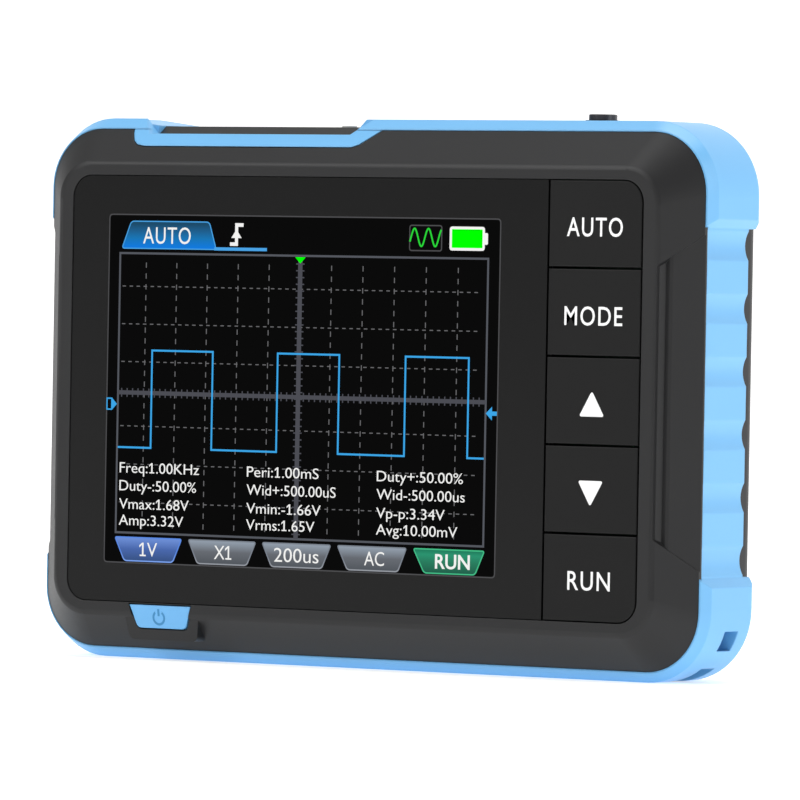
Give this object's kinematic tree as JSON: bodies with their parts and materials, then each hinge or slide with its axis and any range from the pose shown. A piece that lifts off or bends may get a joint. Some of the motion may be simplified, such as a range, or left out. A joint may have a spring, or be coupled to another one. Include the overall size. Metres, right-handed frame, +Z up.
{
  "type": "pocket oscilloscope",
  "caption": "Hand-held digital oscilloscope with a flat screen, a key column, a power key, a coaxial probe jack and a fold-out stand in a coloured grip frame.",
  "frame": {"origin": "under the middle of the base, on the surface that the instrument stands on", "axes": "+X to the user's right, +Z up, the screen faces -Y and the back faces +Y"},
  "size_m": [0.099, 0.0196, 0.0692],
  "materials": {
    "casing": "fine matt texture, satin",
    "frame": "satin",
    "lens": "clear, anti-glare",
    "key": "satin",
    "power_key": "satin",
    "interface_plate": "matt",
    "stand": "satin",
    "steel": "zinc plated",
    "jack_shell": "black nickel",
    "jack_contact": "gold plated",
    "jack_insulator": "matt",
    "usb_shell": "nickel plated",
    "socket_plastic": "matt",
    "light_pipe": "clear",
    "led": "gloss",
    "display_glass": "matt polarizer over glass",
    "tray": "stamped",
    "gasket": "closed-cell foam",
    "flat_cable": "polyimide",
    "circuit_board": "solder mask",
    "chip": "moulded epoxy",
    "component_metal": "tinned",
    "relay": "matt",
    "trimmer": "matt",
    "plunger": "matt",
    "battery_foil": "laminated foil",
    "tape": "foam tape",
    "connector": "nylon",
    "lead_red": "silicone",
    "lead_black": "silicone"
  },
  "bodies": {
    "instrument": {"front_casing": "casing", "rear_cover": "casing", "grip_frame": "frame", "screen_lens": "lens", "interface_plate": "interface_plate", "case_screws": "steel", "board_screws": "steel", "stand_pin": "steel", "probe_jack": "jack_shell", "jack_ring_nut": "jack_shell", "jack_contact": "jack_contact", "jack_insulator": "jack_insulator", "usb_shell": "usb_shell", "usb_tongue": "socket_plastic", "lcd_cable_socket": "socket_plastic", "led_light_pipe": "light_pipe", "charge_led": "led", "lcd_glass": "display_glass", "lcd_backlight_tray": "tray", "shield_can": "tray", "screen_gasket": "gasket", "lcd_foam_pads": "gasket", "lcd_flat_cable": "flat_cable", "main_board": "circuit_board", "microcontroller": "chip", "signal_converter": "chip", "memory_chip": "chip", "charger_chip": "chip", "power_inductor": "chip", "amplifier_chips": "chip", "crystal": "component_metal", "switch_auto": "component_metal", "switch_mode": "component_metal", "switch_up": "component_metal", "switch_down": "component_metal", "switch_run": "component_metal", "switch_power": "component_metal", "coupling_relay": "relay", "trimmer_capacitor": "trimmer", "battery_cell": "battery_foil", "battery_tape": "tape", "battery_socket": "connector", "battery_plug": "connector", "battery_lead_red": "lead_red", "battery_lead_black": "lead_black"},
    "auto_button": {"key_auto": "key", "plunger_auto": "plunger"},
    "mode_button": {"key_mode": "key", "plunger_mode": "plunger"},
    "up_button": {"key_up": "key", "plunger_up": "plunger"},
    "down_button": {"key_down": "key", "plunger_down": "plunger"},
    "run_button": {"key_run": "key", "plunger_run": "plunger"},
    "power_button": {"power_key": "power_key", "plunger_power": "plunger"},
    "stand": {"stand": "stand"}
  },
  "joints": [
    {"name": "auto_button_press", "type": "slide", "parent": "instrument", "child": "auto_button", "axis": [0, 1, 0], "range_m": [0, 0.0004], "stiffness_N_per_m": 4000, "springref_m": -0.0001},
    {"name": "mode_button_press", "type": "slide", "parent": "instrument", "child": "mode_button", "axis": [0, 1, 0], "range_m": [0, 0.0004], "stiffness_N_per_m": 4000, "springref_m": -0.0001},
    {"name": "up_button_press", "type": "slide", "parent": "instrument", "child": "up_button", "axis": [0, 1, 0], "range_m": [0, 0.0004], "stiffness_N_per_m": 4000, "springref_m": -0.0001},
    {"name": "down_button_press", "type": "slide", "parent": "instrument", "child": "down_button", "axis": [0, 1, 0], "range_m": [0, 0.0004], "stiffness_N_per_m": 4000, "springref_m": -0.0001},
    {"name": "run_button_press", "type": "slide", "parent": "instrument", "child": "run_button", "axis": [0, 1, 0], "range_m": [0, 0.0004], "stiffness_N_per_m": 4000, "springref_m": -0.0001},
    {"name": "power_button_press", "type": "slide", "parent": "instrument", "child": "power_button", "axis": [0, 1, 0], "range_m": [0, 0.0004], "stiffness_N_per_m": 4000, "springref_m": -0.0001},
    {"name": "stand_hinge", "type": "hinge", "parent": "instrument", "child": "stand", "pos_m": [0, 0.00835, 0.04215], "axis": [1, 0, 0], "range_deg": [0, 60]}
  ]
}
